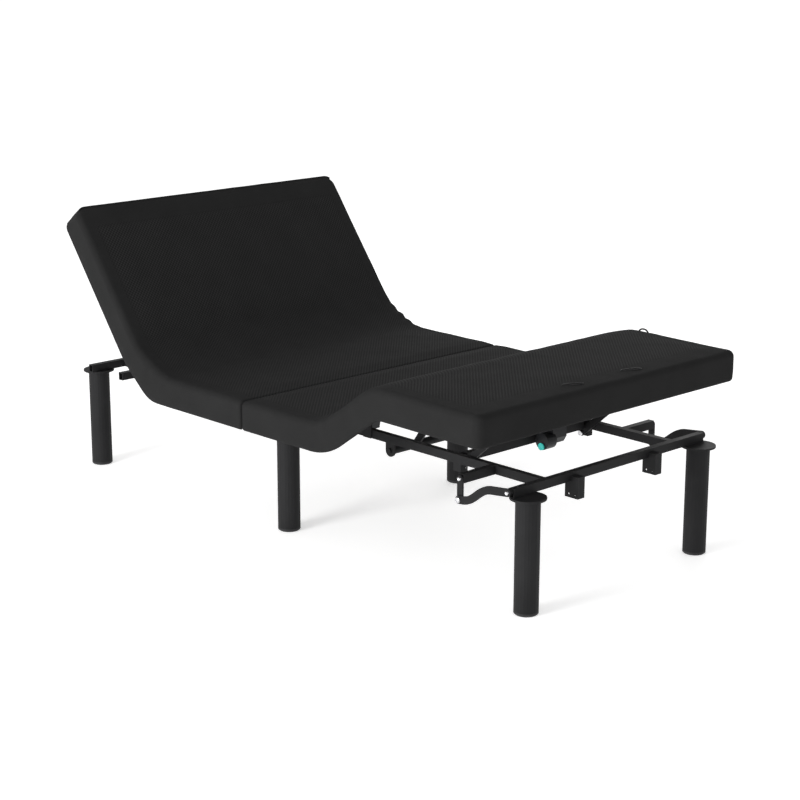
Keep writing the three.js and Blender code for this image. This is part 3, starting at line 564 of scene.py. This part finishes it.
    def flat_shape(self, still, folds):
        """Rounded points with the cover's unevenness and gathers.

        The surface stays calm near the places in still. Each fold is its place along the pad,
        its reach, how far the edge lifts there and how deep the gathers are.
        """
        out = np.array([self.rounded(*p) for p in self.points])
        for n, (s, y, d) in enumerate(out.copy()):
            side = HALF_WIDTH - abs(y)
            end = self.length - s
            sy = 1.0 if y > 0 else -1.0
            top = max(0.0, 1 - d / SOFT_DEPTH)
            calm = min(1.0, max(0.0, s - CALM_FROM) / CALM_REACH)
            for mark in still:
                calm *= 1 - math.exp(-((s - mark) / STILL_REACH) ** 2)
            uneven = swell(s, y, d)
            crown = CROWN * (1 - max(0.0, 1 - min(side, end) / CROWN_REACH) ** 2)
            out[n, 2] -= (crown + CROWN_BASE + uneven) * calm * top
            belly = math.sin(math.pi * min(1.0, max(0.0, d / DEPTH)))
            if side < FACE_BAND:
                out[n, 1] += sy * (uneven + SIDE_SWELL) * calm * belly
            if end < FACE_BAND:
                out[n, 0] += (uneven + END_SWELL) * belly
            for fold, reach, lift, gather in folds:
                near = math.exp(-((s - fold) / reach) ** 2)
                edge = math.exp(-(max(0.0, side - 6) / LIFT_REACH) ** 2)
                wave = math.sin((s - fold) / GATHER_WAVE + 0.02 * side + sy)
                out[n, 2] -= near * edge * top * lift
                rim = math.exp(-(side / GATHER_REACH) ** 2)
                out[n, 2] -= near * rim * top * gather * wave
                if side < FACE_BAND:
                    out[n, 1] += sy * near * gather * 0.6 * wave * max(0.0, 1 - d / GATHER_DEPTH)
        return out

    def bend(self, shape, lower=None):
        """Bends the flat shape onto the path; lower(s) lets the underside sag."""
        out = np.zeros_like(shape)
        for n, (s, y, d) in enumerate(shape):
            here, heading = self.path.at(s)
            up = np.array((-heading[1], heading[0]))
            if up[1] < 0:
                up = -up
            drop = lower(s) * max(0.0, d / DEPTH) ** 2 if lower else 0.0
            place = here + up * (HALF_DEPTH - d - drop)
            out[n] = (place[0], y, place[1])
        return out

    def flat_uv(self, kind, s, y, d):
        """The cover unfolded flat, so that the weave runs on over every edge."""
        if kind == "near":
            return s, -HALF_WIDTH - d
        if kind == "far":
            return s, HALF_WIDTH + d
        if kind == "end":
            return self.length + d, y
        if kind == "seam":
            return -d, y
        if kind == "bottom":
            return s, y + math.copysign(DEPTH + HALF_WIDTH, y)
        return s, y

    def piece(self, name, world, choose, flip):
        """One object from the chosen faces, with its flat and its inset coordinates."""
        picked = [f for f in self.faces if choose(np.mean([self.points[v][0] for v in f[1]]))]
        used = sorted({v for _, face in picked for v in face})
        number = {v: i for i, v in enumerate(used)}
        mesh = bpy.data.meshes.new(name)
        rings = [[number[v] for v in face] for _, face in picked]
        mesh.from_pydata([tuple(world[v] * MM) for v in used], [],
                         [ring[::-1] if flip else ring for ring in rings])
        flat = mesh.uv_layers.new(name="flat")
        inset = mesh.uv_layers.new(name="inset")
        for polygon, (kind, _) in zip(mesh.polygons, picked):
            for loop in polygon.loop_indices:
                s, y, d = self.points[used[mesh.loops[loop].vertex_index]]
                u, w = self.flat_uv(kind, s, y, d)
                flat.data[loop].uv = (u * MM, w * MM)
                inward = (HALF_WIDTH - abs(y), self.length - s) if kind == "top" else (-d, -d)
                inset.data[loop].uv = (inward[0] * MM, inward[1] * MM)
        obj = bpy.data.objects.new(name, mesh)
        scene.collection.objects.link(obj)
        shell = obj.modifiers.new("cloth thickness", "SOLIDIFY")
        shell.thickness = SHELL * MM
        shell.offset = -1
        shell.use_even_offset = False
        shell.use_quality_normals = True
        apply_modifiers(obj)
        obj.data.shade_smooth()
        obj.data.set_sharp_from_angle(angle=math.radians(55))
        obj.data.materials.append(FABRIC)
        return obj


def apply_modifiers(obj):
    """Keeps the evaluated mesh and drops the modifiers."""
    bpy.context.view_layer.update()
    graph = bpy.context.evaluated_depsgraph_get()
    mesh = bpy.data.meshes.new_from_object(obj.evaluated_get(graph))
    old = obj.data
    obj.modifiers.clear()
    obj.data = mesh
    bpy.data.meshes.remove(old)


def world_point(path, s):
    """The point at distance s along a path, in metres."""
    here, _ = path.at(s)
    return (here[0] * MM, 0.0, here[1] * MM)


def back_sag(s):
    """The underside is fuller than an arc in the seat side of the back's bend."""
    centre = HEAD_PATH.marks[0] + SAG_OFFSET
    return SAG * math.exp(-((s - centre) / SAG_WIDTH) ** 2)


def head_pad():
    """The pad over the rear seat half and the back."""
    start, end = HEAD_PATH.marks
    shape = Pad(HEAD_PATH, HEAD_CORNER)
    fold = ((start + end) / 2, *HEAD_FOLD)
    flat = shape.flat_shape((), [fold])
    pad = shape.piece("head_pad", shape.bend(flat, back_sag), lambda s: True, True)
    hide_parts("back_cover", "rear_seat_cover")
    world_point(HEAD_PATH, start + 10)
    world_point(HEAD_PATH, end - 10)
    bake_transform(pad)


def foot_pads():
    """One shape over the front seat half, thigh and calf, parted in the middle of the thigh."""
    seat_bend, thigh_start, thigh_end, calf_start = FOOT_PATH.marks
    split = round((thigh_start + thigh_end) / 2, 4)
    shape = Pad(FOOT_PATH, FOOT_CORNER, (split,))
    fold = ((seat_bend + thigh_start) / 2, *FOOT_FOLD)
    flat = shape.flat_shape((split,), [fold])
    world = shape.bend(flat)
    seat = shape.piece("seat_and_thigh_pad", world, lambda s: s < split, False)
    calf = shape.piece("knee_and_calf_pad", world, lambda s: s > split, False)
    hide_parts("front_seat_cover", "thigh_cover")
    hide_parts("calf_cover")
    world_point(FOOT_PATH, seat_bend + 5)
    world_point(FOOT_PATH, thigh_start - 5)
    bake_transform(seat)
    world_point(FOOT_PATH, thigh_end - 15)
    world_point(FOOT_PATH, calf_start + 15)
    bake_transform(calf)


# ---------------------------------------------------------------- stage
FLOOR_REACH = 30.0
LAMP_SIZE = 2.4
LAMP_AIM = (0, 0, 0.3)
KEY = ((0.0, -5.6, 1.5), 270)
RIM = ((-2.4, 4.6, 2.4), 40)
CAMERA_PLACE = (3.7589, -3.4966, 1.6478)
CAMERA_AZIMUTH = 46.343
CAMERA_TILT = 75.316
CAMERA_ROLL = 0.098
CAMERA_LENS = 86.1


def floor():
    """A wide pale floor with a little light of its own."""
    mesh = bpy.data.meshes.new("floor")
    signs = ((-1, -1), (1, -1), (1, 1), (-1, 1))
    corners = [(x * FLOOR_REACH, y * FLOOR_REACH, 0) for x, y in signs]
    mesh.from_pydata(corners, [], [(0, 1, 2, 3)])
    plane = bpy.data.objects.new("floor", mesh)
    scene.collection.objects.link(plane)
    s = Shader("pale_floor")
    s.set(Base_Color=(0.93, 0.93, 0.93, 1), Roughness=0.9, Specular_IOR_Level=0.1)
    s.set(Emission_Color=(1, 1, 1, 1), Emission_Strength=0.5)
    mesh.materials.append(s.material)


def studio():
    """White all round, greyer overhead."""
    world = bpy.data.worlds.new("studio")
    scene.world = world
    world.use_nodes = True
    background = world.node_tree.nodes["Background"]
    background.inputs["Strength"].default_value = 1.0
    tree = world.node_tree
    place = tree.nodes.new("ShaderNodeTexCoord")
    height = tree.nodes.new("ShaderNodeSeparateXYZ")
    fade = tree.nodes.new("ShaderNodeValToRGB")
    fade.color_ramp.elements[0].position = 0.12
    fade.color_ramp.elements[0].color = (1, 1, 1, 1)
    fade.color_ramp.elements[1].position = 0.9
    fade.color_ramp.elements[1].color = (0.4, 0.4, 0.4, 1)
    tree.links.new(place.outputs["Generated"], height.inputs[0])
    tree.links.new(height.outputs[2], fade.inputs[0])
    tree.links.new(fade.outputs[0], background.inputs["Color"])


def lamp(name, place, power):
    """A round area lamp that faces the object."""
    light = bpy.data.lights.new(name, "AREA")
    light.shape = "DISK"
    light.size = LAMP_SIZE
    light.energy = power
    obj = bpy.data.objects.new(name, light)
    obj.location = place
    obj.rotation_euler = (Vector(LAMP_AIM) - Vector(place)).to_track_quat("-Z", "Y").to_euler()
    scene.collection.objects.link(obj)


def camera():
    """The photograph's viewpoint and lens."""
    data = bpy.data.cameras.new("camera")
    data.lens = CAMERA_LENS
    data.sensor_width = 36.0
    data.clip_end = 100
    obj = bpy.data.objects.new("camera", data)
    turn = Matrix.Identity(4)
    for angle, axis in ((CAMERA_AZIMUTH, "Z"), (CAMERA_TILT, "X"), (CAMERA_ROLL, "Z")):
        turn = turn @ Matrix.Rotation(math.radians(angle), 4, axis)
    obj.matrix_world = Matrix.Translation(CAMERA_PLACE) @ turn
    scene.collection.objects.link(obj)
    scene.camera = obj


# ---------------------------------------------------------------- small fittings
def fitting(name, mesh, sharp, body, material):
    """Makes the object from a bmesh, with edges above sharp degrees kept crisp."""
    bmesh.ops.recalc_face_normals(mesh, faces=mesh.faces)
    data = bpy.data.meshes.new(name)
    mesh.to_mesh(data)
    mesh.free()
    data.shade_smooth()
    data.set_sharp_from_angle(angle=math.radians(sharp))
    data.materials.append(material)
    obj = bpy.data.objects.new(name, data)
    scene.collection.objects.link(obj)
    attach(obj, body)
    return obj


def tube_along(name, points, radius, body, material, closed=False, sides=10):
    """A round wire swept along points given in metres."""
    points = [Vector(p) for p in points]
    count = len(points)
    mesh = bmesh.new()
    rings = []
    side = None
    for i, point in enumerate(points):
        before = points[i - 1] if i or closed else point
        after = points[(i + 1) % count] if i < count - 1 or closed else point
        heading = (after - before).normalized()
        if side is None:
            side = heading.orthogonal()
        side = (side - heading * side.dot(heading)).normalized()
        other = heading.cross(side)
        rings.append([mesh.verts.new(point + (side * math.cos(a) + other * math.sin(a)) * radius)
                      for a in (2 * math.pi * k / sides for k in range(sides))])
    spans = count if closed else count - 1
    for i in range(spans):
        a, b = rings[i], rings[(i + 1) % count]
        shift = 0
        if closed and i == count - 1:
            shift = min(range(sides), key=lambda k: (a[0].co - b[k].co).length)
        for k in range(sides):
            n = (k + 1) % sides
            mesh.faces.new((a[k], a[n], b[(n + shift) % sides], b[(k + shift) % sides]))
    if not closed:
        mesh.faces.new(rings[0][::-1])
        mesh.faces.new(rings[-1])
    return fitting(name, mesh, 50, body, material)


def lathe(name, profile, place, axis, body, material, sides=28):
    """A turned piece in metres: profile is (radius, height) pairs from the axis out and back."""
    mesh = bmesh.new()
    turn = Vector(axis).to_track_quat("Z", "Y").to_matrix()
    rings = []
    for radius, height in profile:
        ring = []
        for k in range(sides if radius else 1):
            a = 2 * math.pi * k / sides
            spot = Vector((radius * math.cos(a), radius * math.sin(a), height))
            ring.append(mesh.verts.new(Vector(place) + turn @ spot))
        rings.append(ring)
    for a, b in zip(rings, rings[1:]):
        for k in range(sides):
            n = (k + 1) % sides
            ring = [a[k % len(a)], a[n % len(a)], b[n % len(b)], b[k % len(b)]]
            mesh.faces.new(list(dict.fromkeys(ring)))
    return fitting(name, mesh, 35, body, material)


SIDES = (("right", -1), ("left", 1))
LINK_FACE_Y = 363.3
ARM_FACE_Y = 368.6
BRACE_BOLTS = (
    ("link", 683, LINK_FACE_Y, 303, 5.5),
    ("arm_low", 683, ARM_FACE_Y, 251, 8.2),
    ("arm_high", 844, ARM_FACE_Y, 305, 5.5),
)
BRACE_HEAD = ((0, 0), (1, 0), (1, 2.2), (0.86, 4.2), (0.6, 5.2), (0.45, 5.2), (0.4, 4.4), (0, 4.4))
CALF_ARM_BOLT = (556, 222.9, 279)
CALF_ARM_HEAD = ((0, 0), (7.7, 0), (7.7, 5.4), (6.6, 6.6), (3.5, 6.6), (3, 5.8), (0, 5.8))


def bolt_heads():
    """Bright button heads over the bolts of the corner braces and the calf arms.

    BRACE_HEAD has shares of each bolt's radius, and CALF_ARM_HEAD has millimetres.
    """
    for side, sy in SIDES:
        for name, x, y, z, radius in BRACE_BOLTS:
            profile = [(share * radius * MM, height * MM) for share, height in BRACE_HEAD]
            lathe(f"bolt_{name}_{side}", profile, (x * MM, sy * y * MM, z * MM), (0, sy, 0),
                  "foot_frame", BRIGHT)
        x, y, z = CALF_ARM_BOLT
        profile = [(radius * MM, height * MM) for radius, height in CALF_ARM_HEAD]
        lathe(f"bolt_calf_arm_{side}", profile, (x * MM, sy * y * MM, z * MM), (0, -sy, 0),
              "foot_frame", BRIGHT)


LOOP_WIRE = 0.0023
EYELET_WIRE = 0.0014
LOOP_X = 549
LOOP_Y = 479
LOOP_BASE_Z = 503
LOOP_RADIUS = 17
LOOP_SQUARENESS = 0.7
LOOP_END = ((474, 470), (477, 488))
LOOP_STEPS = 24
EYELET_X = 812
EYELET_Y = 110
EYELET_HALF_LENGTH = 27
EYELET_HALF_WIDTH = 3.5
EYELET_SKEW = 10
EYELET_ABOVE = 0.2
EYELET_TILT = 1.2
EYELET_STEPS = 36
KNEE_X = 497
KNEE_TOP_Z = 519.5


def calf_point(x, y, above=0.0):
    """A point on the calf pad's top face, above it by some millimetres."""
    slope = math.sin(math.radians(CALF_ANGLE))
    return (x * MM, y * MM, (KNEE_TOP_Z + slope * (x - KNEE_X) + above) * MM)


def retainer_loop():
    """The wire loop that stands up at the far edge, with its two ends in the deck."""
    arch = []
    for i in range(LOOP_STEPS + 1):
        a = math.pi * i / LOOP_STEPS
        rise = LOOP_RADIUS * math.sin(a) ** LOOP_SQUARENESS
        arch.append((LOOP_X - LOOP_RADIUS * math.cos(a), LOOP_Y, LOOP_BASE_Z + rise))
    start = [(LOOP_X - LOOP_RADIUS, y, z) for y, z in LOOP_END]
    end = [(LOOP_X + LOOP_RADIUS, y, z) for y, z in reversed(LOOP_END)]
    path = [(x * MM, y * MM, z * MM) for x, y, z in start + arch + end]
    loop = tube_along("retainer_loop", path, LOOP_WIRE, "calf_deck", WIRE)
    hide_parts("mattress_retainer")


def foot_eyelets():
    """Two low closed wire eyelets that lie on the calf pad near the foot edge."""
    for side, sy in SIDES:
        ring = []
        for i in range(EYELET_STEPS):
            a = 2 * math.pi * i / EYELET_STEPS
            x = EYELET_X + EYELET_HALF_WIDTH * math.sin(a) + EYELET_SKEW * math.cos(a)
            y = sy * EYELET_Y + EYELET_HALF_LENGTH * math.cos(a)
            ring.append(calf_point(x, y, EYELET_ABOVE - EYELET_TILT * math.sin(a)))
        tube_along(f"foot_eyelet_{side}", ring, EYELET_WIRE, "calf_deck", WIRE,
                   closed=True)


scene.view_settings.view_transform = "Standard"
camera()
floor()
studio()
lamp("key", *KEY)
lamp("rim", *RIM)
dress_cad_nodes()
head_pad()
foot_pads()
bolt_heads()
retainer_loop()
foot_eyelets()
